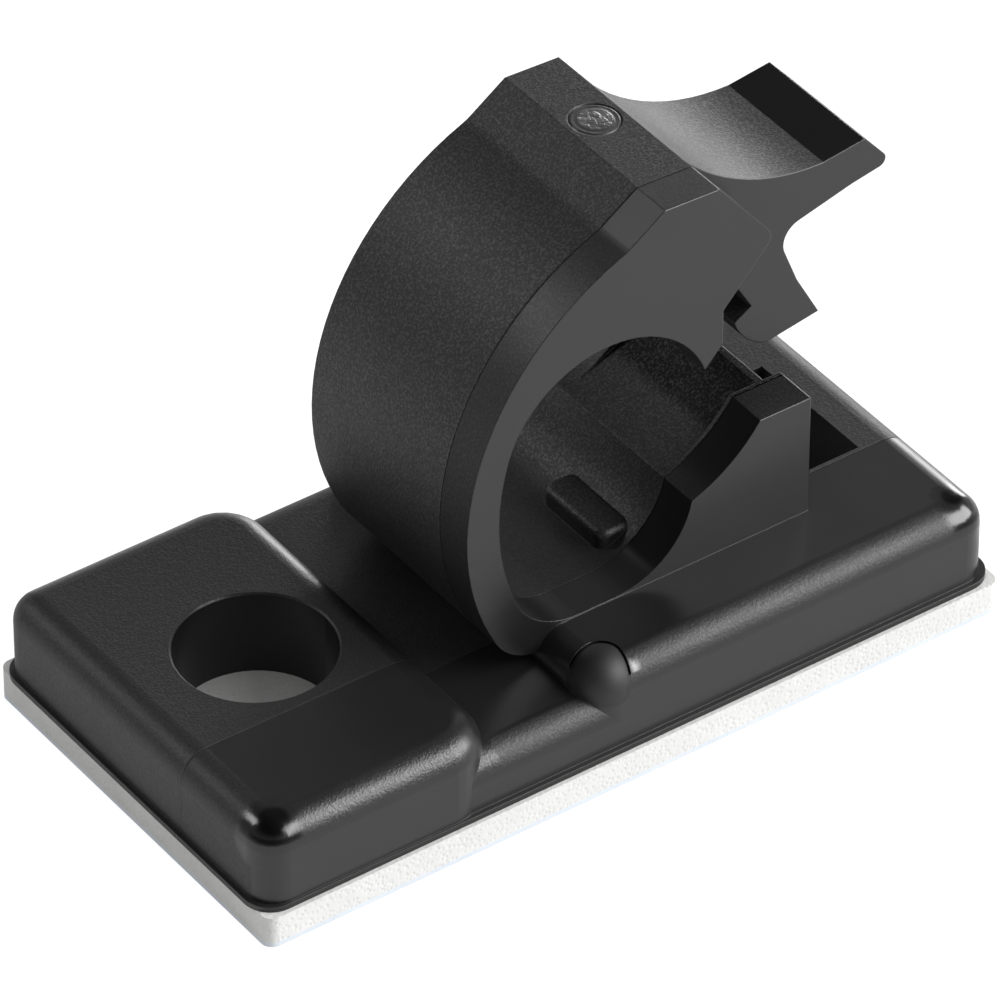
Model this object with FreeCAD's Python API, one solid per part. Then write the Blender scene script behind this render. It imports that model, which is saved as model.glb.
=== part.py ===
import FreeCAD, Part
import math
import os

# Adhesive cable clip: a black nylon moulding on a white foam tape pad.
# X runs from the screw end to the latch end, Y across, Z up.
# The origin is at the middle of the underside. All sizes are in millimetres.

# Foam pad and its release liner
liner_thickness = 0.15
foam_thickness = 1.0
pad_corner = 0.4
pad_overhang = 0.14  # how far the pad's long sides stand out past the foot lip
pad_setback = 0.12  # the pad's screw end stands back from the foot lip

# Base: a thick screw block, a thinner step and a thick latch block
screw_block_length = 9.01
step_length = 3.45
base_width = 14.6
block_height = 3.12
step_drop = 1.02
edge_radius = 0.95
end_corner = 0.98  # upright corners at both ends of the base
screw_corner = 1.7  # upright corners of the screw block on its step side
latch_corner = 1.04  # upright corners of the latch block on its step side
screw_block_proud = 0.1  # sides of the screw block past the step and the latch block
end_lip_out = 0.16  # thin moulded lip round the foot, at both ends
side_lip_out = 0.08  # the same lip along both sides
lip_height = 0.2
screw_hole_radius = 2.6
screw_hole_inset = 5.06  # from the screw end to the hole's axis
screw_hole_offset = 0.38  # from the base's centre line towards the back
hole_edge_break = 0.06

# Ball shaped corner of the latch block, at the front of its step side
ball_swell = 0.02  # the ball's radius past the upright corner's
ball_rise = 0.15
ball_groove = 0.06
ball_groove_depth = 0.1
ball_groove_start = 25.0

# Loop that holds the cables
loop_width = 8.3
loop_inset = 2.65  # from the latch block's step side to the loop's axis
loop_height = 10.0
loop_wall = 1.2
floor_lift = 0.04  # loop floor above the latch block's top
crown_radius = 3.9
side_radius = 8.5
heel_radius = 2.5  # inner corner at the foot of the loop
heel_offset = 1.1  # from the loop's axis to the heel's centre
floor_length = 1.4
saddle_radius = 3.0
saddle_sweep = 79.5
back_height = 4.65  # widest point of the loop's back, above the floor
foot_radius = 2.0
foot_gap = 0.27  # between the loop's foot and the step

# Head with its flat top and inner tooth
head_rise = 4.25
facet_offset = 2.05
facet_length = 2.04
facet_fall = 0.09
shoulder_run = 1.45
shoulder_drop = 1.0
shoulder_blend = 1.5
cheek_out = 2.15
cheek_drop = 2.65
cheek_radius = 0.45
tooth_angle = 20.0
tooth_width = 0.66
tooth_bevel = 0.72
tooth_height = 2.0
gate_radius = 0.85
gate_offset = 0.85  # from the centre line towards the back
gate_depth = 0.06
gate_nub_radius = 0.5

# Thumb lever and hook
lever_width = 4.9
thumb_length = 5.27
thumb_drop = 2.31
thumb_scoop = 0.6
tip_pad = 1.6
tip_rise = 0.21
tip_overhang = 1.08
tip_thickness = 1.25
tip_radius = 0.28
underlip = 1.55
neck_out = 3.54
neck_drop = 4.36
neck_radius = 0.75
hook_reach = 5.23
hook_ankle = 0.87
ankle_height = 1.94
sole_rise = 0.33
hook_length = 3.26  # from the back of the hook to the tip of its barb
barb_height = 1.3
catch_depth = 0.64
catch_rise = 0.39
mouth_gap = 1.33  # between the post's top and the hook's sole
shank_slope = 0.593  # run to rise of the shank's inner side

# Latch post with two ears and a nose between them
post_reach = 7.8
post_height = 4.45
ear_length = 1.96
ear_scoop = 0.25
ear_clearance = 0.1  # on each side of the lever
nose_scoop = 0.12
nose_inset = 0.95
nose_land = 0.28
nose_height = 1.0
nose_undercut = 0.7
nose_slope = 0.4
pocket_length = 3.2
end_margin = 2.01

# Grip rib on the loop's floor
rib_offset = 1.15
rib_height = 0.85
rib_depth = 1.3
rib_front = 2.25
rib_length = 3.2
rib_edge = 0.25
rib_corner = 0.4

# Places worked out from the sizes above
pad_top = liner_thickness + foam_thickness
latch_block_length = loop_inset + post_reach + pocket_length + end_margin
base_length = screw_block_length + step_length + latch_block_length
left_end = -base_length / 2
step_start = left_end + screw_block_length
latch_start = step_start + step_length
right_end = base_length / 2
screw_half = base_width / 2 - side_lip_out
latch_half = screw_half - screw_block_proud
deck = pad_top + block_height
step_top = deck - step_drop
floor = deck + floor_lift
loop_x = latch_start + loop_inset
loop_top = floor + loop_height
post_x = loop_x + post_reach
post_top = floor + post_height
ear_gap = lever_width + 2 * ear_clearance


def point(x, z, y=0.0):
    return FreeCAD.Vector(x, y, z)


def polar(centre, radius, degrees):
    angle = math.radians(degrees)
    return point(centre.x + radius * math.cos(angle), centre.z + radius * math.sin(angle))


def on_arc(centre, radius, toward):
    # the point of a circle that lies toward another point
    step = toward.sub(centre)
    step.normalize()
    return centre.add(step * radius)


def inside_centre(first, first_gap, second, second_gap):
    # centre of a large arc that two smaller arcs touch from inside, on their right
    span = second.sub(first)
    distance = span.Length
    along = (first_gap**2 - second_gap**2 + distance**2) / (2 * distance)
    across = math.sqrt(first_gap**2 - along**2)
    unit = span * (1 / distance)
    side = point(-unit.z, unit.x)
    return first.add(unit * along).add(side * across)


def sagged(start, end, sag):
    # the middle of a shallow arc that sags by a given depth to the right of its travel
    span = end.sub(start)
    side = point(span.z, -span.x)
    side.normalize()
    return (start + end) * 0.5 + side * sag


def line(start, end):
    return Part.makeLine(start, end)


def arc(start, middle, end):
    return Part.Arc(start, middle, end).toShape()


def arc_on(centre, radius, start, end):
    # the short arc of a circle between two of its points
    return arc(start, on_arc(centre, radius, (start + end) * 0.5), end)


def corner(before, at, after, radius):
    # tangent points and middle of a rounded corner
    back = before.sub(at)
    forth = after.sub(at)
    back.normalize()
    forth.normalize()
    half = back.getAngle(forth) / 2
    reach = radius / math.tan(half)
    bisector = back.add(forth)
    bisector.normalize()
    middle = at.add(bisector * (radius / math.sin(half) - radius))
    return at.add(back * reach), middle, at.add(forth * reach)


def slab(edges, width):
    # a closed outline in the XZ plane, given a width across the clip's middle
    face = Part.Face(Part.Wire(Part.__sortEdges__(edges)))
    face.translate(FreeCAD.Vector(0, -width / 2, 0))
    return face.extrude(FreeCAD.Vector(0, width, 0))


def rounded_block(start, end, half_width, bottom, top, start_corner, far_corner):
    # a plate with upright corners of one radius at its start and one at its end
    block = Part.makeBox(end - start, 2 * half_width, top - bottom)
    block.translate(FreeCAD.Vector(start, -half_width, bottom))
    for place, radius in ((start, start_corner), (end, far_corner)):
        uprights = []
        for edge in block.Edges:
            box = edge.BoundBox
            if box.ZLength > 1e-6 and box.XLength < 1e-6 and abs(box.XMin - place) < 1e-6:
                uprights.append(edge)
        block = block.makeFillet(radius, uprights)
    return block


def round_top(block, top, radius):
    rim = [e for e in block.Edges if e.BoundBox.ZMin > top - 1e-6]
    return block.makeFillet(radius, rim)


def screw_block():
    start = left_end + end_lip_out
    block = rounded_block(start, step_start, screw_half, pad_top, deck, end_corner, screw_corner)
    return round_top(block, deck, edge_radius)


def plain_latch_block(inset):
    # the latch block without its ball, drawn in from all its outer faces by the inset
    block = rounded_block(
        latch_start + inset, right_end - end_lip_out - inset, latch_half - inset,
        pad_top, deck - inset, latch_corner - inset, end_corner
    )
    return round_top(block, deck - inset, edge_radius - inset)


def latch_block():
    # one corner is a ball that stands a little proud, with a fine groove round its top
    axis = latch_corner - latch_half
    radius = latch_corner + ball_swell
    centre = FreeCAD.Vector(latch_start + latch_corner, axis, deck + ball_rise - radius)
    up = FreeCAD.Vector(0, 0, 1)
    bowl = Part.makeSphere(radius + ball_groove, centre, up, ball_groove_start, 90, 360)
    groove = bowl.cut(plain_latch_block(ball_groove_depth))
    return plain_latch_block(0.0).cut(groove).fuse(Part.makeSphere(radius, centre))


def step_plate():
    # the step runs into both blocks and is rounded along its two long top edges
    length = step_length + screw_corner + latch_corner
    plate = Part.makeBox(length, 2 * latch_half, step_top - pad_top)
    plate.translate(FreeCAD.Vector(step_start - screw_corner, -latch_half, pad_top))
    long_edges = []
    for edge in plate.Edges:
        box = edge.BoundBox
        if box.ZMin > step_top - 1e-6 and box.YLength < 1e-6:
            long_edges.append(edge)
    return plate.makeFillet(edge_radius, long_edges)


def foot_lip():
    top = pad_top + lip_height
    half = base_width / 2
    return rounded_block(left_end, right_end, half, pad_top, top, end_corner, end_corner)


def screw_hole():
    axis_x = left_end + screw_hole_inset
    foot = point(axis_x, pad_top, screw_hole_offset)
    bore = Part.makeCylinder(screw_hole_radius, block_height, foot)
    mouth_radius = screw_hole_radius + hole_edge_break
    mouth_base = point(axis_x, deck - hole_edge_break, screw_hole_offset)
    mouth = Part.makeCone(screw_hole_radius, mouth_radius, hole_edge_break, mouth_base)
    return bore.fuse(mouth)


def base():
    body = screw_block().fuse([latch_block(), step_plate(), foot_lip()])
    return body.cut(screw_hole())


# Points of the loop, head and post that more than one outline shares
crown_centre = point(loop_x, loop_top - crown_radius)
heel_centre = point(loop_x - heel_offset, floor + heel_radius)
saddle_centre = point(heel_centre.x + floor_length, floor + saddle_radius)
saddle_end = polar(saddle_centre, saddle_radius, saddle_sweep - 90)
side_centre = inside_centre(
    crown_centre, side_radius - crown_radius, heel_centre, side_radius - heel_radius
)
facet_left = point(loop_x + facet_offset, loop_top + head_rise)
facet_right = point(facet_left.x + facet_length, facet_left.z - facet_fall)
cheek = point(facet_right.x + cheek_out, facet_right.z - cheek_drop)
tooth_tip = polar(crown_centre, crown_radius, tooth_angle)
tooth_root = point(tooth_tip.x + tooth_width, tooth_tip.z + tooth_height)


def loop_inside():
    # from the tooth's tip over the crown, down the side and along the floor to the saddle
    crown_end = on_arc(side_centre, side_radius, crown_centre)
    heel_start = on_arc(side_centre, side_radius, heel_centre)
    floor_start = point(heel_centre.x, floor)
    floor_end = point(saddle_centre.x, floor)
    crown_top = polar(crown_centre, crown_radius, 100)
    saddle_middle = polar(saddle_centre, saddle_radius, saddle_sweep / 2 - 90)
    return [
        arc(tooth_tip, crown_top, crown_end),
        arc_on(side_centre, side_radius, crown_end, heel_start),
        arc_on(heel_centre, heel_radius, heel_start, floor_start),
        line(floor_start, floor_end),
        arc(floor_end, saddle_middle, saddle_end),
    ]


def loop_outside(foot):
    # from the foot under the loop, up its back and over the shoulder to the flat top
    shoulder = point(facet_left.x - shoulder_run, facet_left.z - shoulder_drop)
    back = point(side_centre.x - side_radius - loop_wall, floor + back_height)
    run = shoulder.x - back.x
    rise = shoulder.z - back.z
    back_radius = (run**2 + rise**2) / (2 * run)
    back_centre = point(back.x + back_radius, back.z)
    gap = back_radius - foot_radius
    foot_z = foot.z + foot_radius
    foot_centre = point(back_centre.x - math.sqrt(gap**2 - (back.z - foot_z) ** 2), foot_z)
    foot_low = point(foot_centre.x, foot.z)
    foot_end = on_arc(back_centre, back_radius, foot_centre)
    return [
        line(foot, foot_low),
        arc_on(foot_centre, foot_radius, foot_low, foot_end),
        arc(foot_end, back, shoulder),
        line(shoulder, facet_left),
    ], shoulder


def head_front():
    # from the flat top round the cheek and down the tooth to its tip
    bevel = point(tooth_root.x, tooth_tip.z + tooth_bevel)
    cheek_in, cheek_middle, cheek_out_point = corner(facet_right, cheek, tooth_root, cheek_radius)
    return [
        line(facet_left, facet_right),
        line(facet_right, cheek_in),
        arc(cheek_in, cheek_middle, cheek_out_point),
        line(cheek_out_point, tooth_root),
        line(tooth_root, bevel),
        line(bevel, tooth_tip),
    ]


def loop():
    foot = point(saddle_end.x, step_top + foot_gap)
    outside, shoulder = loop_outside(foot)
    edges = loop_inside() + outside + head_front() + [line(saddle_end, foot)]
    body = slab(edges, loop_width)
    soft = []
    for edge in body.Edges:
        box = edge.BoundBox
        at_shoulder = abs(box.XMin - shoulder.x) + abs(box.ZMin - shoulder.z) < 1e-5
        if at_shoulder and box.YLength > loop_width - 1e-6:
            soft.append(edge)
    return body.makeFillet(shoulder_blend, soft)


def gate_mark():
    # shallow round mould mark with a nub in it, square to the flat top
    tilt = math.degrees(math.atan2(facet_fall, facet_length))
    centre = (facet_left + facet_right) * 0.5
    ring = Part.makeCylinder(gate_radius, 2 * gate_depth, point(0, -gate_depth))
    nub = Part.makeCylinder(gate_nub_radius, 2 * gate_depth, point(0, -gate_depth))
    dish = ring.cut(nub)
    dish.rotate(FreeCAD.Vector(0, 0, 0), FreeCAD.Vector(0, 1, 0), tilt)
    dish.translate(centre + FreeCAD.Vector(0, gate_offset, 0))
    return dish


def lever():
    # thumb scoop, tip, underside, neck and hook as one outline
    sole = post_top + mouth_gap
    scoop_end = point(facet_right.x + thumb_length, facet_right.z - thumb_drop)
    tip_top = point(scoop_end.x + tip_pad, scoop_end.z + tip_rise)
    tip_low = point(tip_top.x + tip_overhang, tip_top.z - tip_thickness)
    under = point(tip_low.x - underlip, tip_low.z - tip_radius)
    neck = point(facet_right.x + neck_out, facet_right.z - neck_drop)
    heel = point(facet_right.x + hook_reach, sole + sole_rise)
    ankle = point(heel.x - hook_ankle, sole + ankle_height)
    barb = point(heel.x - hook_length, sole + barb_height)
    catch = point(barb.x + catch_depth, barb.z + catch_rise)
    core_z = facet_right.z - neck_drop + neck_radius
    slot_top = point(catch.x - shank_slope * (core_z - catch.z), core_z)
    sole_end = point(barb.x + 0.38 * hook_length, sole)
    core = point(facet_right.x, (core_z + facet_right.z) / 2)
    tip_in, tip_middle, tip_out = corner(tip_top, tip_low, under, tip_radius)
    neck_in, neck_middle, neck_out_point = corner(under, neck, ankle, neck_radius)
    barb_middle = sagged(sole_end, barb, -0.22)
    edges = [
        arc(facet_right, sagged(facet_right, scoop_end, thumb_scoop), scoop_end),
        line(scoop_end, tip_top),
        line(tip_top, tip_in),
        arc(tip_in, tip_middle, tip_out),
        line(tip_out, under),
        line(under, neck_in),
        arc(neck_in, neck_middle, neck_out_point),
        line(neck_out_point, ankle),
        line(ankle, heel),
        line(heel, sole_end),
        arc(sole_end, barb_middle, barb),
        line(barb, catch),
        line(catch, slot_top),
        line(slot_top, core),
        line(core, facet_right),
    ]
    return slab(edges, lever_width)


def ears():
    # the post's full width outline; the nose is cut and added between its two ears
    ear_back = point(post_x - ear_length, post_top)
    root = step_top + foot_gap
    edges = [
        arc(saddle_end, sagged(saddle_end, ear_back, ear_scoop), ear_back),
        line(ear_back, point(post_x, post_top)),
        line(point(post_x, post_top), point(post_x, root)),
        line(point(post_x, root), point(saddle_end.x, root)),
        line(point(saddle_end.x, root), saddle_end),
    ]
    body = slab(edges, loop_width)
    gap = Part.makeBox(post_reach, ear_gap, 2 * post_height)
    gap.translate(FreeCAD.Vector(saddle_end.x, -ear_gap / 2, root - 1.0))
    return body.cut(gap)


def nose():
    # sloping saddle that ends in a narrow land, with the catch ledge below it
    land_end = point(post_x - nose_inset + nose_land, post_top)
    land_start = point(post_x - nose_inset, post_top)
    ledge = point(land_end.x, post_top - nose_height)
    ledge_root = point(ledge.x - nose_undercut, ledge.z - nose_slope)
    root = step_top + foot_gap
    edges = [
        arc(saddle_end, sagged(saddle_end, land_start, nose_scoop), land_start),
        line(land_start, land_end),
        line(land_end, ledge),
        line(ledge, ledge_root),
        line(ledge_root, point(ledge_root.x, root)),
        line(point(ledge_root.x, root), point(saddle_end.x, root)),
        line(point(saddle_end.x, root), saddle_end),
    ]
    return slab(edges, ear_gap), ledge_root.x


def pocket(start):
    # window through the latch block for the hook's sole
    length = post_x + pocket_length - start
    cut = Part.makeBox(length, ear_gap, block_height)
    cut.translate(FreeCAD.Vector(start, -ear_gap / 2, pad_top))
    return cut


def grip_rib():
    start = loop_x + rib_offset
    top = deck + rib_height
    rib = rounded_block(start, start + rib_depth, rib_length / 2, deck, top, rib_corner, rib_corner)
    rib = round_top(rib, top, rib_edge)
    rib.translate(FreeCAD.Vector(0, rib_length / 2 - rib_front, 0))
    return rib


def clip_body():
    nose_body, pocket_start = nose()
    plinth = base().cut(pocket(pocket_start))
    body = plinth.fuse([loop(), lever(), ears(), nose_body, grip_rib()])
    body = body.cut(gate_mark()).removeSplitter()
    return body.Solids[0] if len(body.Solids) == 1 else body


def pad_sheet(bottom, top):
    start = left_end + pad_setback
    half = base_width / 2 + pad_overhang
    return rounded_block(start, right_end, half, bottom, top, pad_corner, pad_corner)


def save(name, shape):
    shape.exportStep("parts/" + name + ".step")
    box = shape.BoundBox
    print(name, "solids", len(shape.Solids), "valid", shape.isValid())
    print("  X %.2f..%.2f" % (box.XMin, box.XMax), "Y %.2f..%.2f" % (box.YMin, box.YMax))
    print("  Z %.2f..%.2f" % (box.ZMin, box.ZMax), "volume %.1f" % shape.Volume)


os.makedirs("parts", exist_ok=True)
save("clip_body", clip_body())
save("foam_pad", pad_sheet(liner_thickness, pad_top))
save("release_liner", pad_sheet(0.0, liner_thickness))
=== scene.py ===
import math
import bpy
from mathutils import Euler, Matrix, Vector, noise


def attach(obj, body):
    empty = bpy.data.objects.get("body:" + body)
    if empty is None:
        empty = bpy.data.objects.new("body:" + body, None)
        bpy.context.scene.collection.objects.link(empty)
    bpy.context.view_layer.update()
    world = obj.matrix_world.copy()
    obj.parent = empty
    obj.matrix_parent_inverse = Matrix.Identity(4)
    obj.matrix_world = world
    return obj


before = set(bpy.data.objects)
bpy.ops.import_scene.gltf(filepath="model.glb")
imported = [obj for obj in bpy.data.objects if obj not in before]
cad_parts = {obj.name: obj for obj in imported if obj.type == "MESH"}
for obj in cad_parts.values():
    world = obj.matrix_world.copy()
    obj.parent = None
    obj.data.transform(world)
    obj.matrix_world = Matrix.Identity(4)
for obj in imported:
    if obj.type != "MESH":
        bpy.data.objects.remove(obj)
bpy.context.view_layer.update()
millimetre = 0.001
print("frame loaded")


# small helpers for node trees

def addNode(tree, kind, **settings):
    node = tree.nodes.new(kind)
    for name, value in settings.items():
        setattr(node, name, value)
    return node


def feed(tree, socket, value):
    if isinstance(value, (int, float, tuple)):
        socket.default_value = value
    else:
        tree.links.new(value, socket)


def addMath(tree, operation, *values, clamp=False):
    node = addNode(tree, "ShaderNodeMath", operation=operation, use_clamp=clamp)
    for socket, value in zip(node.inputs, values):
        feed(tree, socket, value)
    return node.outputs[0]


def addRange(tree, value, low, high, outLow=0.0, outHigh=1.0, curve="SMOOTHSTEP"):
    node = addNode(tree, "ShaderNodeMapRange", interpolation_type=curve)
    names = ("Value", "From Min", "From Max", "To Min", "To Max")
    for name, number in zip(names, (value, low, high, outLow, outHigh)):
        feed(tree, node.inputs[name], number)
    return node.outputs["Result"]


def addBlend(tree, mask, first, second, curve="SMOOTHSTEP"):
    # first where the mask is 0, second where it is 1
    return addRange(tree, mask, 0.0, 1.0, first, second, curve)


def addMix(tree, mask, first, second):
    node = addNode(tree, "ShaderNodeMix", data_type="RGBA")
    for name, value in (("Factor", mask), ("A", first), ("B", second)):
        feed(tree, [s for s in node.inputs if s.name == name and s.enabled][0], value)
    return [s for s in node.outputs if s.enabled][0]


def addBump(tree, height, depth, normal=None):
    # depth in millimetres
    node = addNode(tree, "ShaderNodeBump")
    node.inputs["Strength"].default_value = 1.0
    node.inputs["Distance"].default_value = depth * millimetre
    feed(tree, node.inputs["Height"], height)
    if normal is not None:
        feed(tree, node.inputs["Normal"], normal)
    return node.outputs[0]


def addSplit(tree, vector):
    node = addNode(tree, "ShaderNodeSeparateXYZ")
    feed(tree, node.inputs[0], vector)
    return node.outputs


def addDistance(tree, position, point):
    node = addNode(tree, "ShaderNodeVectorMath", operation="DISTANCE")
    feed(tree, node.inputs[0], position)
    node.inputs[1].default_value = point
    return node.outputs["Value"]


def addNoise(tree, position, size, detail, roughness=0.5):
    # size is the width of a patch, in millimetres
    node = addNode(tree, "ShaderNodeTexNoise")
    node.inputs["Detail"].default_value = detail
    node.inputs["Roughness"].default_value = roughness
    feed(tree, node.inputs["Vector"], position)
    fixed = isinstance(size, (int, float))
    feed(tree, node.inputs["Scale"], 1 / size if fixed else addMath(tree, "DIVIDE", 1.0, size))
    return node.outputs[0]


def placeInMillimetres(tree):
    coords = addNode(tree, "ShaderNodeTexCoord")
    scale = addNode(tree, "ShaderNodeVectorMath", operation="SCALE")
    scale.inputs["Scale"].default_value = 1 / millimetre
    tree.links.new(coords.outputs["Object"], scale.inputs[0])
    return scale.outputs[0]


def addAnd(tree, first, *others):
    for other in others:
        first = addMath(tree, "MULTIPLY", first, other)
    return first


def addOr(tree, first, *others):
    for other in others:
        first = addMath(tree, "MAXIMUM", first, other)
    return first


def addNot(tree, value):
    return addMath(tree, "SUBTRACT", 1.0, value)


def grey(value, blue=1.0):
    return (value, value, value * blue, 1.0)


def tint(colour, factors):
    return tuple(part * factor for part, factor in zip(colour, factors)) + (1.0,)


def layOut(tree, wide=240, high=220):
    # one column for each step away from the output, so that a tree reads from left to right
    columns = {}

    def columnOf(node):
        if node.name not in columns:
            users = [link.to_node for socket in node.outputs for link in socket.links]
            columns[node.name] = 1 + max((columnOf(user) for user in users), default=-1)
        return columns[node.name]

    filled = {}
    for node in tree.nodes:
        column = columnOf(node)
        node.location = (-wide * column, -high * filled.get(column, 0))
        filled[column] = filled.get(column, 0) + 1


# shader groups that the materials share

grainSettings = {
    "detail": 2.0,
    "roughness": 0.6,
    "broadSize": 2.8,  # times the fine grain
    "broadDetail": 1.0,
}

wearSettings = {
    "cloudDetail": 4.0,
    "stretch": (0.6, 5.0, 5.0),
    "slant": (0.2, 0.1, 0.5),
    "markSize": 0.7,
    "markDetail": 3.0,
    "markRange": (0.56, 0.72),
}


def newGroup(name, inputs, outputs):
    tree = bpy.data.node_groups.new(name, "ShaderNodeTree")
    tree.interface.new_socket("Position", in_out="INPUT", socket_type="NodeSocketVector")
    for label, value in inputs:
        socket = tree.interface.new_socket(label, in_out="INPUT", socket_type="NodeSocketFloat")
        socket.default_value = value
    for label in outputs:
        tree.interface.new_socket(label, in_out="OUTPUT", socket_type="NodeSocketFloat")
    start = addNode(tree, "NodeGroupInput")
    end = addNode(tree, "NodeGroupOutput")
    return tree, start.outputs, end.inputs


def placeGroup(tree, group, position, values):
    node = addNode(tree, "ShaderNodeGroup", node_tree=group)
    tree.links.new(position, node.inputs["Position"])
    for label, value in values.items():
        node.inputs[label].default_value = value
    return node.outputs


def makeGrainGroup(settings):
    # fine spark-eroded grain of the mould, in two sizes of noise
    tree, given, result = newGroup("mouldGrain", [("Size", 0.09), ("Coarse", 0.5)], ["Height"])
    fine = addNoise(tree, given["Position"], given["Size"], settings["detail"], settings["roughness"])
    broadSize = addMath(tree, "MULTIPLY", given["Size"], settings["broadSize"])
    broad = addNoise(tree, given["Position"], broadSize, settings["broadDetail"])
    feed(tree, result["Height"], addMath(tree, "MULTIPLY_ADD", broad, given["Coarse"], fine))
    layOut(tree)
    return tree


def makeWearGroup(settings):
    # cloudy tone and gloss, and faint rubbed marks from handling
    tree, given, result = newGroup("handlingWear", [("Size", 3.0), ("Scratch", 0.5)], ["Cloud", "Rub"])
    cloud = addNoise(tree, given["Position"], given["Size"], settings["cloudDetail"])
    feed(tree, result["Cloud"], cloud)
    stretch = addNode(tree, "ShaderNodeMapping")
    stretch.inputs["Scale"].default_value = settings["stretch"]
    stretch.inputs["Rotation"].default_value = settings["slant"]
    feed(tree, stretch.inputs["Vector"], given["Position"])
    marks = addNoise(tree, stretch.outputs[0], settings["markSize"], settings["markDetail"])
    rub = addRange(tree, marks, *settings["markRange"])
    feed(tree, result["Rub"], addMath(tree, "MULTIPLY", rub, given["Scratch"]))
    layOut(tree)
    return tree


def makeWitnessGroup():
    # the line where the front insert of the mould ends, across the clip
    tree, given, result = newGroup("mouldWitness", [("Line", -2.7), ("Width", 0.05)], ["Ridge"])
    away = addMath(tree, "SUBTRACT", addSplit(tree, given["Position"])["Y"], given["Line"])
    share = addMath(tree, "DIVIDE", addMath(tree, "ABSOLUTE", away), given["Width"])
    feed(tree, result["Ridge"], addMath(tree, "SUBTRACT", 1.0, share, clamp=True))
    layOut(tree)
    return tree


grainGroup = makeGrainGroup(grainSettings)
wearGroup = makeWearGroup(wearSettings)
witnessGroup = makeWitnessGroup()
print("shader groups ready")


def placeWear(tree, position, settings):
    values = {"Size": settings["cloudSize"], "Scratch": settings["scratch"]}
    return placeGroup(tree, wearGroup, position, values)


# black nylon of the moulding: places and lengths in millimetres, and a facing is a part of the
# normal; in a pair the mask starts at the first value and is full at the second

nylonSettings = {
    "shade": 0.007,
    "shadeSpread": 0.25,
    "cloudSize": 3.0,
    "scratch": 0.5,
    "blackened": 0.85,
    "fleck": 0.12,
    "fleckLight": 2.0,
    "fleckBlue": 1.03,
    "speckleRange": (0.44, 0.66),
    "speckleMean": 0.45,
    "grainSize": 0.085,
    "grainDepth": 0.012,
    "smoothGrain": 0.1,  # share of the grain left where the mould is smooth
    "roughGrain": 0.46,
    "roughSmooth": 0.27,
    "roughScrewEdge": 0.29,
    "roughCorner": 0.15,
    "roughRim": 0.24,
    "roughBall": 0.54,
    "roughBand": 0.7,
    "roughCloud": 0.1,
    "roughRub": 0.06,
    "witnessLine": -2.7,
    "witnessBlend": 0.03,
    "witnessWidth": 0.05,
    "witnessDepth": 0.014,
    "edgeRadius": 0.06,
    "footEdgeRadius": 0.035,
    "edgeTurn": (0.99, 0.92),
    "edgeFacing": (-0.35, -0.1),
    "specular": 0.55,
    "specularSpread": 0.36,
    "specularSpreadLow": 0.13,
    "blackDull": 0.3,
    "lineDull": 0.3,
    "paintedHighlight": 0.7,
    "shineFrom": 7.0,
    "shineBlend": 0.3,
    "filletTop": 4.6,
    "filletBlend": 0.2,
    "loopFront": 0.6,  # smoothness of the loop's front band
    "sideFacing": (0.93, 0.985),
    "turnedFacing": (0.08, 0.3),
    "straightFacing": (0.25, 0.12),
    "postFrom": (1.0, 2.0),
    "postFacing": (0.95, 0.85),
    "endWall": -12.95,
    "endBlend": 0.1,
    "endFacing": (0.3, 0.15),
    "screwEnd": -5.0,
    "screwEdgeReach": 1.2,
    "screwEdgeFacing": (0.05, 0.2),
    "cornerReach": 1.25,
    "cornerBlend": 0.3,
    "paintedSpotCore": 0.6,
    "underFacing": (0.26, 0.36),
    "underLimit": (0.56, 0.44),
    "underReach": (1.14, 1.0),
    "corners": (
        {"centre": (-12.92, -6.24, 3.32), "paintedSpot": (-13.1, -6.55, 4.16), "paintedSpotRadius": 0.64},
        {"centre": (12.92, -6.14, 3.32), "paintedSpot": (12.95, -6.2, 4.22), "paintedSpotRadius": 0.42},
    ),
    "thumbPad": 10.41,
    "thumbPadBottom": 15.9,
    "ball": (-0.56, -6.08, 3.36),
    "ballRadius": 1.1,
    "ballBlend": 0.02,
    "rimFrom": (0.5, 0.8),  # from the ball's centre, towards the latch end
    "rimReach": 1.42,
    "rimBlend": 0.25,
    "rimSideLimit": (0.9, 0.8),
    "rimTopLimit": (0.3, 0.45),
    "hole": (-9.0, 0.38, 0.0),
    "holeRadius": 2.62,
    "holeFacing": (0.4, 0.2),
    "bandFacing": (-0.05, -0.6),
    "bandHeights": (16.0, 9.5),
    "bandTopShade": 0.15,
    "bandLoopShade": 0.55,
    "bandPostShade": 1.0,
    "earFacing": 0.8,
    "earFrom": (7.5, 7.8),
    "earTo": (10.5, 10.0),
    "earShade": 0.9,
}


def newMaterial(name):
    material = bpy.data.materials.new(name)
    material.use_nodes = True
    tree = material.node_tree
    return material, tree, tree.nodes["Principled BSDF"].inputs


def addBallMasks(tree, position, x, across, settings):
    # the ball at the front, and the polished rim beside it, off the side face and off the top; the rim
    # also carries a painted highlight
    reach = settings["rimReach"]
    middle = settings["ball"][0]
    start, full = settings["rimFrom"]
    fromBall = addDistance(tree, position, settings["ball"])
    radius = settings["ballRadius"]
    ball = addRange(tree, fromBall, radius + settings["ballBlend"], radius)
    near = addRange(tree, fromBall, reach, reach - settings["rimBlend"])
    beside = addRange(tree, x, middle + start, middle + full)
    offSide = addRange(tree, across, *settings["rimSideLimit"])
    offTop = addRange(tree, across, *settings["rimTopLimit"])
    return ball, addAnd(tree, addNot(tree, ball), near, beside, offSide, offTop)


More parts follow.
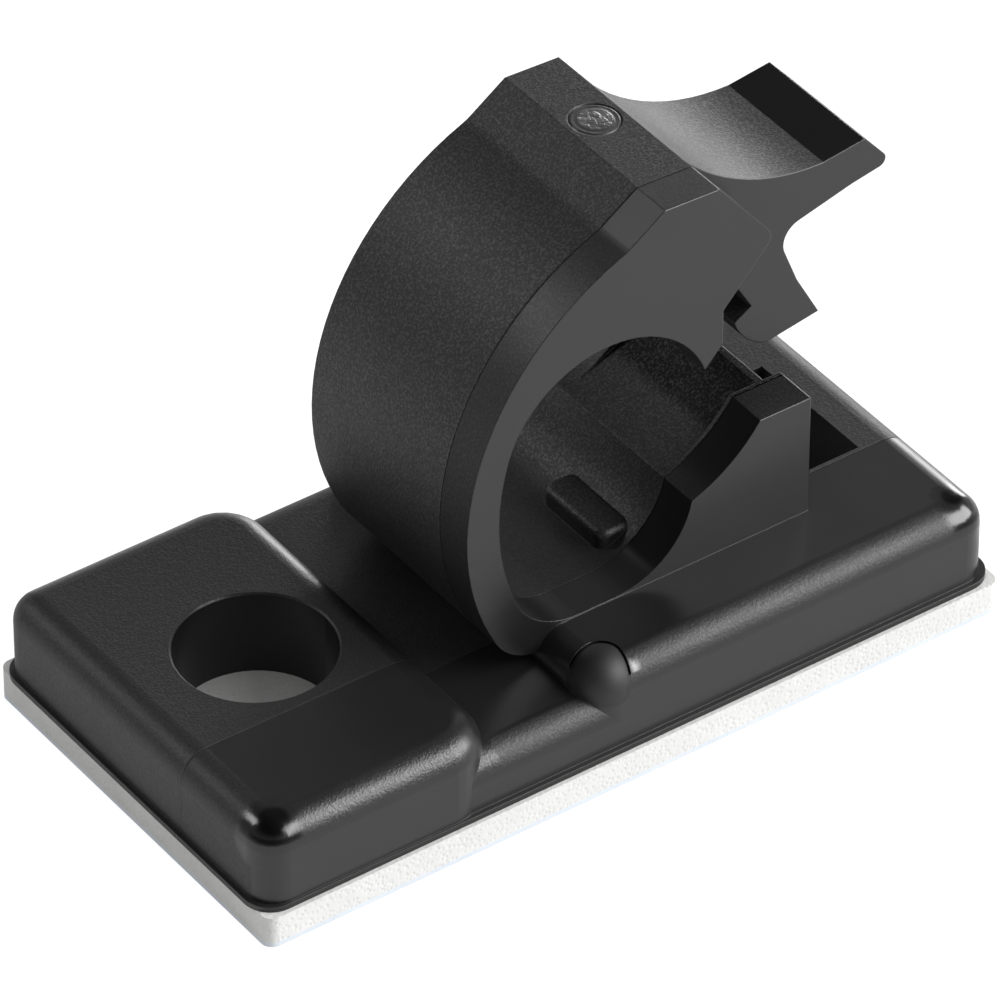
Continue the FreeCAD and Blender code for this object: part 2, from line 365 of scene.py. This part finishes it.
def addCornerMasks(tree, position, facingZ, settings):
    # polished front corners, each with a painted dark spot and a painted dark line under its rounding,
    # which stand in for dark reflections
    zones = []
    paintedSpots = []
    reach = settings["cornerReach"]
    for corner in settings["corners"]:
        fromCorner = addDistance(tree, position, corner["centre"])
        zones.append(addRange(tree, fromCorner, reach, reach - settings["cornerBlend"]))
        fromPaintedSpot = addDistance(tree, position, corner["paintedSpot"])
        radius = corner["paintedSpotRadius"]
        paintedSpot = addRange(tree, fromPaintedSpot, radius, radius * settings["paintedSpotCore"])
        under = addAnd(
            tree,
            addRange(tree, facingZ, *settings["underFacing"]),
            addRange(tree, facingZ, *settings["underLimit"]),
            addRange(tree, fromCorner, *settings["underReach"]),
        )
        paintedSpots.append(addOr(tree, paintedSpot, under))
    return addOr(tree, *zones), addOr(tree, *paintedSpots)


def addMasks(tree, position, settings):
    # where the mould was left smooth or polished, and where painted shade and painted dark reflections
    # darken it
    geometry = addNode(tree, "ShaderNodeNewGeometry")
    facingX, facingY, facingZ = addSplit(tree, geometry.outputs["Normal"])
    x, y, z = addSplit(tree, position)
    across = addMath(tree, "ABSOLUTE", facingY)
    along = addMath(tree, "ABSOLUTE", facingX)
    fromLine = addMath(tree, "SUBTRACT", y, settings["witnessLine"])
    front = addRange(tree, fromLine, settings["witnessBlend"], -settings["witnessBlend"])
    line = addRange(
        tree, addMath(tree, "ABSOLUTE", fromLine), settings["witnessWidth"], 0.0, curve="LINEAR"
    )
    low = addRange(tree, z, settings["filletTop"] + settings["filletBlend"], settings["filletTop"])
    high = addRange(tree, z, settings["shineFrom"] - settings["shineBlend"], settings["shineFrom"])

    # front sides, and tops in front of the witness line
    side = addRange(tree, across, *settings["sideFacing"])
    postSide = addAnd(
        tree,
        addRange(tree, x, *settings["postFrom"]),
        addRange(tree, facingZ, *settings["postFacing"]),
    )
    share = addBlend(tree, addOr(tree, low, postSide), settings["loopFront"], 1.0)
    smooth = addOr(tree, addAnd(tree, front, share), side)

    # the base's roundings and its end wall keep their grain even there
    turned = addRange(tree, across, *settings["turnedFacing"])
    straight = addRange(tree, along, *settings["straightFacing"])
    rounding = addAnd(tree, turned, addNot(tree, side), straight, low)
    endBlend = settings["endBlend"]
    end = addRange(tree, x, settings["endWall"] + endBlend, settings["endWall"] - endBlend)
    endWall = addAnd(tree, end, addRange(tree, across, *settings["endFacing"]))
    kept = addAnd(tree, smooth, addNot(tree, addOr(tree, rounding, endWall)))

    # thumb pad, left smooth and darkened with a painted dark reflection, and screw hole
    pad = addAnd(
        tree,
        addMath(tree, "GREATER_THAN", x, settings["thumbPad"]),
        addMath(tree, "GREATER_THAN", z, settings["thumbPadBottom"]),
        addNot(tree, side),
    )
    flat = addNode(tree, "ShaderNodeVectorMath", operation="MULTIPLY")
    feed(tree, flat.inputs[0], position)
    flat.inputs[1].default_value = (1.0, 1.0, 0.0)
    fromHole = addDistance(tree, flat.outputs[0], settings["hole"])
    upright = addRange(tree, addMath(tree, "ABSOLUTE", facingZ), *settings["holeFacing"])
    hole = addAnd(tree, addMath(tree, "LESS_THAN", fromHole, settings["holeRadius"]), upright)

    ball, rim = addBallMasks(tree, position, x, across, settings)
    corner, dark = addCornerMasks(tree, position, facingZ, settings)
    plain = addOr(tree, kept, pad, hole, ball, addOr(tree, rim, corner))
    # painted dark reflection on the thumb pad, and the painted dark spots at the corners
    black = addOr(tree, pad, dark)

    # roundings at the screw end
    atScrew = addMath(tree, "LESS_THAN", x, settings["screwEnd"])
    stepSide = addAnd(
        tree,
        addMath(tree, "GREATER_THAN", x, settings["screwEnd"] - settings["screwEdgeReach"]),
        addRange(tree, along, *settings["screwEdgeFacing"]),
    )
    screwEdge = addAnd(tree, addOr(tree, rounding, stepSide), atScrew)

    # front band of the loop, the sides that face into it, and the ears' flat tops; painted shade
    # darkens them, deepest low down and towards the post
    deepest = addBlend(tree, postSide, settings["bandLoopShade"], settings["bandPostShade"])
    bandPaintedShade = addRange(tree, z, *settings["bandHeights"], settings["bandTopShade"], deepest)
    inward = addRange(tree, facingX, *settings["bandFacing"])
    band = addAnd(tree, front, addNot(tree, side), addNot(tree, low), inward, bandPaintedShade)
    # painted shade on the ears' flat tops, under the head
    earTop = addAnd(
        tree,
        addMath(tree, "GREATER_THAN", facingZ, settings["earFacing"]),
        addRange(tree, z, *settings["earFrom"]),
        addRange(tree, z, *settings["earTo"], 0.0, settings["earShade"]),
    )
    # painted shade in the loop and on the ears, with the painted dark reflections, in one mask
    shadeDimmed = addOr(tree, black, addOr(tree, band, earTop))
    return {"plain": plain, "corner": corner, "rim": rim, "black": shadeDimmed, "ball": ball,
            "screwEdge": screwEdge, "band": band, "low": low, "high": high, "line": line}


def addSoftEdge(tree, masks, settings):
    # slightly rounded edges, and a mask of the edges high up that get a painted highlight
    bevel = addNode(tree, "ShaderNodeBevel", samples=6)
    wide = settings["edgeRadius"] * millimetre
    narrow = settings["footEdgeRadius"] * millimetre
    feed(tree, bevel.inputs["Radius"], addBlend(tree, masks["low"], wide, narrow))
    geometry = addNode(tree, "ShaderNodeNewGeometry")
    turn = addNode(tree, "ShaderNodeVectorMath", operation="DOT_PRODUCT")
    tree.links.new(bevel.outputs[0], turn.inputs[0])
    tree.links.new(geometry.outputs["Normal"], turn.inputs[1])
    rounded = addRange(tree, turn.outputs["Value"], *settings["edgeTurn"])
    outward = addRange(tree, addSplit(tree, bevel.outputs[0])["X"], *settings["edgeFacing"])
    return bevel.outputs[0], addAnd(tree, rounded, masks["high"], outward)


def addNylonColour(tree, cloud, speckled, black, settings):
    dark = settings["shade"] * (1 - settings["shadeSpread"])
    light = settings["shade"] * (1 + settings["shadeSpread"])
    pale = light * settings["fleckLight"]
    tone = addMix(tree, cloud, grey(dark), grey(light))
    fleck = addMath(tree, "MULTIPLY", speckled, settings["fleck"])
    flecked = addMix(tree, fleck, tone, grey(pale, settings["fleckBlue"]))
    # painted shade and painted dark reflections darken the base colour
    blackened = addMath(tree, "MULTIPLY", black, settings["blackened"])
    return addMix(tree, blackened, flecked, grey(0.0))


def addNylonShine(tree, masks, edge, grainy, speckled, settings):
    spreads = settings["specularSpread"], settings["specularSpreadLow"]
    spread = addBlend(tree, masks["low"], *spreads)
    middle = addMath(tree, "MULTIPLY_ADD", grainy, -settings["speckleMean"], speckled)
    centred = addMath(tree, "MULTIPLY_ADD", middle, spread, settings["specular"])
    # painted highlight: raised specular on the edges high up and on the rim beside the ball
    bright = addOr(tree, edge, masks["rim"])
    shiny = addMath(tree, "MULTIPLY_ADD", bright, settings["paintedHighlight"], centred)
    # painted shade and painted dark reflections also lower the specular level
    shadeDimmed = addMath(tree, "MULTIPLY_ADD", masks["black"], -settings["blackDull"], shiny)
    darkLine = addAnd(tree, masks["line"], addNot(tree, masks["low"]))
    return addMath(tree, "MULTIPLY_ADD", darkLine, -settings["lineDull"], shadeDimmed, clamp=True)


def addNylonRoughness(tree, masks, grainy, wear, settings):
    rough = settings["roughSmooth"]
    for mask, target in (
        (grainy, "roughGrain"),
        (masks["screwEdge"], "roughScrewEdge"),
        (masks["corner"], "roughCorner"),
        (masks["rim"], "roughRim"),
        (masks["ball"], "roughBall"),
        (masks["band"], "roughBand"),
    ):
        rough = addBlend(tree, mask, rough, settings[target], "LINEAR")
    clouded = addMath(tree, "MULTIPLY_ADD", wear["Cloud"], settings["roughCloud"], rough)
    return addMath(tree, "MULTIPLY_ADD", wear["Rub"], -settings["roughRub"], clouded, clamp=True)


def makeNylon(name, settings):
    material, tree, sockets = newMaterial(name)
    position = placeInMillimetres(tree)
    grain = placeGroup(tree, grainGroup, position, {"Size": settings["grainSize"]})
    wear = placeWear(tree, position, settings)
    lineValues = {"Line": settings["witnessLine"], "Width": settings["witnessWidth"]}
    witness = placeGroup(tree, witnessGroup, position, lineValues)
    masks = addMasks(tree, position, settings)
    grainy = addNot(tree, masks["plain"])
    fine = addNoise(
        tree, position, settings["grainSize"], grainSettings["detail"], grainSettings["roughness"]
    )
    speckle = addRange(tree, fine, *settings["speckleRange"])
    speckled = addMath(tree, "MULTIPLY", speckle, grainy)
    softNormal, edge = addSoftEdge(tree, masks, settings)

    colour = addNylonColour(tree, wear["Cloud"], speckled, masks["black"], settings)
    feed(tree, sockets["Base Color"], colour)
    shine = addNylonShine(tree, masks, edge, grainy, speckled, settings)
    feed(tree, sockets["Specular IOR Level"], shine)
    feed(tree, sockets["Roughness"], addNylonRoughness(tree, masks, grainy, wear, settings))
    left = settings["smoothGrain"]
    amount = addMath(tree, "MULTIPLY_ADD", grainy, 1 - left, left)
    height = addMath(tree, "MULTIPLY", grain["Height"], amount)
    grained = addBump(tree, height, settings["grainDepth"], softNormal)
    feed(tree, sockets["Normal"], addBump(tree, witness["Ridge"], settings["witnessDepth"], grained))
    layOut(tree)
    return material


# white foam tape

foamSettings = {
    "shade": 0.56,
    "dim": (0.9, 0.9, 0.88),
    "bright": (1.04, 1.04, 1.03),
    "poreShade": (0.75, 0.75, 0.72),
    "poreShare": 0.12,
    "poreRange": (0.1, 0.6),
    "cellSize": 0.16,
    "cellDepth": 0.012,
    "cloudSize": 1.2,
    "scratch": 0.3,
    "rough": 0.85,
    "roughCloud": 0.1,
    "specular": 0.25,
}


def makeFoam(name, settings):
    material, tree, sockets = newMaterial(name)
    sockets["Specular IOR Level"].default_value = settings["specular"]
    position = placeInMillimetres(tree)
    wear = placeWear(tree, position, settings)
    cells = addNode(tree, "ShaderNodeTexVoronoi")
    cells.inputs["Scale"].default_value = 1 / settings["cellSize"]
    feed(tree, cells.inputs["Vector"], position)
    pores = addRange(tree, cells.outputs["Distance"], *settings["poreRange"])
    white = (settings["shade"],) * 3
    tone = addMix(tree, wear["Cloud"], tint(white, settings["dim"]), tint(white, settings["bright"]))
    share = settings["poreShare"]
    porous = addMath(tree, "MULTIPLY_ADD", pores, -share, share)
    feed(tree, sockets["Base Color"], addMix(tree, porous, tone, tint(white, settings["poreShade"])))
    rough = addMath(tree, "MULTIPLY_ADD", wear["Cloud"], settings["roughCloud"], settings["rough"])
    feed(tree, sockets["Roughness"], rough)
    feed(tree, sockets["Normal"], addBump(tree, pores, settings["cellDepth"]))
    layOut(tree)
    return material


# pale coated paper of the release liner

linerSettings = {
    "shade": (0.50, 0.54, 0.60),
    "dim": (0.9, 0.9, 0.9),
    "bright": (1.08, 1.08, 1.06),
    "fibreSize": 0.25,
    "fibreDetail": 3.0,
    "fibreDepth": 0.004,
    "cloudSize": 2.0,
    "scratch": 0.6,
    "rough": 0.42,
    "roughRub": 0.2,
}


def makeLiner(name, settings):
    material, tree, sockets = newMaterial(name)
    position = placeInMillimetres(tree)
    wear = placeWear(tree, position, settings)
    fibres = addNoise(tree, position, settings["fibreSize"], settings["fibreDetail"])
    low = tint(settings["shade"], settings["dim"])
    high = tint(settings["shade"], settings["bright"])
    feed(tree, sockets["Base Color"], addMix(tree, wear["Cloud"], low, high))
    rough = addMath(tree, "MULTIPLY_ADD", wear["Rub"], settings["roughRub"], settings["rough"])
    feed(tree, sockets["Roughness"], rough)
    feed(tree, sockets["Normal"], addBump(tree, fibres, settings["fibreDepth"]))
    layOut(tree)
    return material


def dress(node, material):
    node.data.materials.clear()
    node.data.materials.append(material)


dress(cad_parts["clip_body"], makeNylon("blackNylon", nylonSettings))
dress(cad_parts["foam_pad"], makeFoam("whiteFoam", foamSettings))
dress(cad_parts["release_liner"], makeLiner("linerPaper", linerSettings))
print("materials on the clip, pad and liner")


# torn nub and rings of the gate mark on the head's flat top

gateSettings = {
    "centre": (4.13, 0.85, 18.514),
    "tilt": math.atan2(0.09, 2.04),
    "ceiling": 18.555,  # stays under the top of the solids
    "outer": 0.8,
    "foot": -0.05,
    "rings": 3.0,
    "ringHeight": 0.017,
    "ringWobble": 0.05,
    "wobbleScale": 2.2,
    "wobbleLayer": 4.0,
    "ringMean": 0.7,
    "ringUneven": 0.5,
    "rimPower": 6,
    "torn": 0.56,
    "tornPower": 4,
    "tornHeight": 0.05,
    "tornLift": 0.1,
    "crumpleScale": 3.2,
    "crumpleLayer": 9.0,
    "crumpleOctaves": 3,
    "turns": 72,
    "steps": 22,
}


def gateHeight(x, y, settings):
    # height of the mark above the flat top, in millimetres
    radius = math.hypot(x, y)
    scale = settings["wobbleScale"]
    wobble = noise.noise(Vector((x * scale, y * scale, settings["wobbleLayer"])))
    wobbled = radius + settings["ringWobble"] * wobble
    wave = math.cos(wobbled * 2 * math.pi * settings["rings"] / settings["outer"])
    rim = max(0.0, 1.0 - (radius / settings["outer"]) ** settings["rimPower"])
    uneven = settings["ringMean"] + settings["ringUneven"] * wobble
    rings = settings["ringHeight"] * wave * rim * uneven
    torn = max(0.0, 1.0 - (radius / settings["torn"]) ** settings["tornPower"])
    scale = settings["crumpleScale"]
    layer = Vector((x * scale, y * scale, settings["crumpleLayer"]))
    crumple = noise.turbulence(layer, settings["crumpleOctaves"], True)
    height = rings * (1.0 - torn) + torn * settings["tornHeight"] * (settings["tornLift"] + crumple)
    room = settings["ceiling"] - settings["centre"][2] + x * math.sin(settings["tilt"])
    return room * math.tanh(height / room) if height > 0 else height


def makeGateMark(settings):
    verts = []
    faces = []
    turns = settings["turns"]
    tilt = Matrix.Rotation(settings["tilt"], 3, "Y")
    for ring in range(settings["steps"] + 1):
        radius = settings["outer"] * ring / settings["steps"]
        for turn in range(turns):
            angle = 2 * math.pi * turn / turns
            x = radius * math.cos(angle)
            y = radius * math.sin(angle)
            height = gateHeight(x, y, settings) if ring < settings["steps"] else settings["foot"]
            verts.append(tilt @ Vector((x, y, height)) * millimetre)
    for ring in range(settings["steps"]):
        for turn in range(turns):
            here = ring * turns + turn
            beside = ring * turns + (turn + 1) % turns
            if ring:
                faces.append((here, beside, beside + turns, here + turns))
            else:
                faces.append((here, beside + turns, here + turns))
    mesh = bpy.data.meshes.new("gateMark")
    mesh.from_pydata(verts, [], faces)
    inside = settings["torn"] * millimetre
    for polygon in mesh.polygons:
        polygon.use_smooth = True
        polygon.material_index = 1 if polygon.center.xy.length < inside else 0
    piece = bpy.data.objects.new("gateMark", mesh)
    bpy.context.scene.collection.objects.link(piece)
    piece.location = Vector(settings["centre"]) * millimetre
    return piece


ringedNylonSettings = dict(
    nylonSettings, shade=0.02, grainDepth=0.004, roughGrain=0.3, witnessDepth=0.0
)
tornNylonSettings = dict(
    ringedNylonSettings, shade=0.045, shadeSpread=0.95, cloudSize=0.3,
    roughGrain=0.18, specular=0.9, grainDepth=0.05, grainSize=0.2
)
gateMark = makeGateMark(gateSettings)
gateMark.data.materials.append(makeNylon("ringedNylon", ringedNylonSettings))
gateMark.data.materials.append(makeNylon("tornNylon", tornNylonSettings))
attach(gateMark, "root")
print("gate mark placed")


# pale floor, and a studio that is white low down and dark overhead

studioSettings = {
    "floorSize": 4.0,
    "floorGap": 0.02,  # millimetres under the foot
    "floorGlow": 0.91,
    "floorShade": 0.22,
    "floorBounce": 0.8,
    "ambient": 0.5,
    "mirrorLow": 0.65,
    "mirrorHigh": 0.22,
    "mirrorFrom": 0.25,
    "mirrorTo": 0.62,
    "mirrorGlow": 0.5,
    "mirrorShade": 0.4,
    "dimSide": 0.35,
    "dimFrom": -0.5,
    "dimTo": 0.4,
}


def addMirrored(tree, path):
    # 1 for rays that come by way of a reflection or a clear piece
    rays = path.outputs["Is Glossy Ray"], path.outputs["Is Transmission Ray"]
    return addMath(tree, "ADD", *rays, clamp=True)


def makeFloor(settings):
    half = settings["floorSize"] / 2
    low = -settings["floorGap"] * millimetre
    corners = [(-half, -half, low), (half, -half, low), (half, half, low), (-half, half, low)]
    mesh = bpy.data.meshes.new("floor")
    mesh.from_pydata(corners, [], [(0, 1, 2, 3)])
    floor = bpy.data.objects.new("floor", mesh)
    bpy.context.scene.collection.objects.link(floor)
    material = bpy.data.materials.new("floorPaper")
    material.use_nodes = True
    tree = material.node_tree
    tree.nodes.clear()
    output = addNode(tree, "ShaderNodeOutputMaterial")
    path = addNode(tree, "ShaderNodeLightPath")
    mirrored = addMirrored(tree, path)
    seen = addMath(tree, "MAXIMUM", path.outputs["Is Camera Ray"], mirrored)
    bounce = addNode(tree, "ShaderNodeBsdfDiffuse")
    bounce.inputs["Color"].default_value = grey(settings["floorBounce"])
    shade = addNode(tree, "ShaderNodeBsdfDiffuse")
    shades = settings["floorShade"], settings["mirrorShade"]
    feed(tree, shade.inputs["Color"], addBlend(tree, mirrored, *shades, "LINEAR"))
    glow = addNode(tree, "ShaderNodeEmission")
    glows = settings["floorGlow"], settings["mirrorGlow"]
    feed(tree, glow.inputs["Strength"], addBlend(tree, mirrored, *glows, "LINEAR"))
    both = addNode(tree, "ShaderNodeAddShader")
    tree.links.new(shade.outputs[0], both.inputs[0])
    tree.links.new(glow.outputs[0], both.inputs[1])
    mix = addNode(tree, "ShaderNodeMixShader")
    tree.links.new(seen, mix.inputs[0])
    tree.links.new(bounce.outputs[0], mix.inputs[1])
    tree.links.new(both.outputs[0], mix.inputs[2])
    tree.links.new(mix.outputs[0], output.inputs[0])
    layOut(tree)
    mesh.materials.append(material)


def makeWorld(settings):
    world = bpy.data.worlds.new("studio")
    bpy.context.scene.world = world
    world.use_nodes = True
    tree = world.node_tree
    background = tree.nodes["Background"]
    path = addNode(tree, "ShaderNodeLightPath")
    coords = addNode(tree, "ShaderNodeTexCoord")
    way = addSplit(tree, coords.outputs["Generated"])
    rise = settings["mirrorFrom"], settings["mirrorTo"]
    mirror = addRange(tree, way["Z"], *rise, settings["mirrorLow"], settings["mirrorHigh"])
    # the backdrop is dimmer on the screw end's side
    dim = addRange(tree, way["X"], settings["dimFrom"], settings["dimTo"], settings["dimSide"], 1.0)
    mirrored = addMirrored(tree, path)
    lit = addMath(tree, "MULTIPLY", mirrored, addMath(tree, "MULTIPLY", mirror, dim))
    ambient = addMath(tree, "MULTIPLY_ADD", addNot(tree, mirrored), settings["ambient"], lit)
    strength = addMath(tree, "MAXIMUM", ambient, path.outputs["Is Camera Ray"])
    tree.links.new(strength, background.inputs["Strength"])
    background.inputs["Color"].default_value = grey(1.0)
    layOut(tree)


makeFloor(studioSettings)
makeWorld(studioSettings)


# softboxes: one in front to the right, small fills elsewhere; lengths in metres

lampSettings = {
    "keyLamp": {
        "azimuth": 47, "elevation": 31, "distance": 0.6,
        "wide": 0.48, "high": 0.4, "radiance": 10.5,
    },
    "rimLamp": {
        "azimuth": 126, "elevation": 9, "distance": 0.7,
        "wide": 0.24, "high": 0.24, "radiance": 8.5,
    },
    "leftLamp": {
        "azimuth": -140, "elevation": 35, "distance": 0.7,
        "wide": 0.2, "high": 0.2, "radiance": 7.5,
    },
}


def makeLamp(name, settings):
    # azimuth is counted from the front, towards the latch end
    turn = math.radians(settings["azimuth"])
    rise = math.radians(settings["elevation"])
    level = math.cos(rise)
    way = Vector((math.sin(turn) * level, -math.cos(turn) * level, math.sin(rise)))
    lamp = bpy.data.lights.new(name, "AREA")
    lamp.shape = "RECTANGLE"
    lamp.size = settings["wide"]
    lamp.size_y = settings["high"]
    lamp.energy = settings["radiance"] * math.pi * settings["wide"] * settings["high"]
    holder = bpy.data.objects.new(name, lamp)
    bpy.context.scene.collection.objects.link(holder)
    holder.location = way * settings["distance"]
    holder.rotation_euler = way.to_track_quat("Z", "Y").to_euler()


for name, settings in lampSettings.items():
    makeLamp(name, settings)
print("floor, world and lamps ready")


# camera at the photograph's angle

cameraSettings = {
    "place": (-0.13358, -0.18635, 0.19131),
    "turn": (51.0704, -0.0685, -35.5729),
    "lens": 342.0,
    "sensor": 36.0,
    "near": 0.01,
    "far": 20.0,
}


def makeCamera(settings):
    lens = bpy.data.cameras.new("photoCamera")
    lens.sensor_width = settings["sensor"]
    lens.lens = settings["lens"]
    lens.clip_start = settings["near"]
    lens.clip_end = settings["far"]
    camera = bpy.data.objects.new("photoCamera", lens)
    bpy.context.scene.collection.objects.link(camera)
    camera.location = settings["place"]
    camera.rotation_euler = Euler([math.radians(angle) for angle in settings["turn"]], "XYZ")
    bpy.context.scene.camera = camera


makeCamera(cameraSettings)
bpy.context.scene.view_settings.view_transform = "Standard"

print("camera placed")
